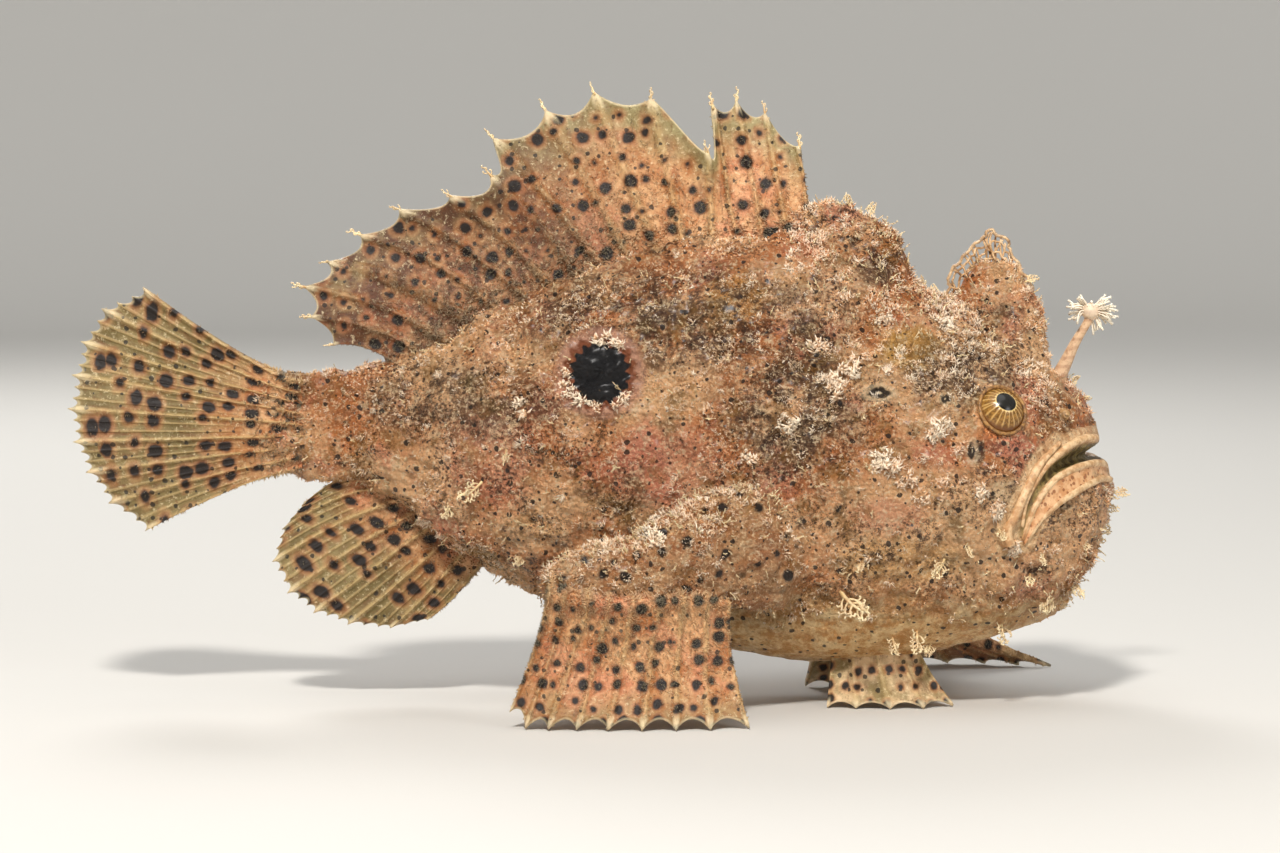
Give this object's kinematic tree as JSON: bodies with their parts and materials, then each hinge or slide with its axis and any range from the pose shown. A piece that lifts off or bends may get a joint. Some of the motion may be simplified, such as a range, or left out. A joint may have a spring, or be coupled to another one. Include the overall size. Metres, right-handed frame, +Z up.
{
  "type": "frogfish model",
  "caption": "Life-size still model of a frogfish standing on its paired fins, with a lure on its snout, an eye spot on each flank and shaggy, spotted skin.",
  "frame": {"origin": "middle of the box around the whole fish, at the floor it stands on", "axes": "+X towards the snout, +Y towards the fish's left side, +Z up"},
  "size_m": [0.2124, 0.104, 0.1231],
  "materials": {
    "skin": "matt, rough with tiny skin spines",
    "jaw_skin": "matt, rough with tiny skin spines",
    "fin_web": "satin",
    "pale_flesh": "satin",
    "mouth_lining": "moist gloss",
    "eye": "polished gloss"
  },
  "bodies": {
    "root": {"tail_fin": "fin_web", "tail_stalk": "skin", "trunk": "skin", "head": "skin", "lower_jaw": "jaw_skin", "mouth_lining": "mouth_lining", "eye_right": "eye", "eye_left": "eye", "lure_rod": "pale_flesh", "lure": "pale_flesh", "second_spine": "skin", "third_spine": "skin", "dorsal_fin": "fin_web", "anal_fin": "fin_web", "arm_right": "skin", "arm_left": "skin", "breast_fin_right": "fin_web", "breast_fin_left": "fin_web", "belly_fin_right": "fin_web", "belly_fin_left": "fin_web"}
  },
  "joints": []
}
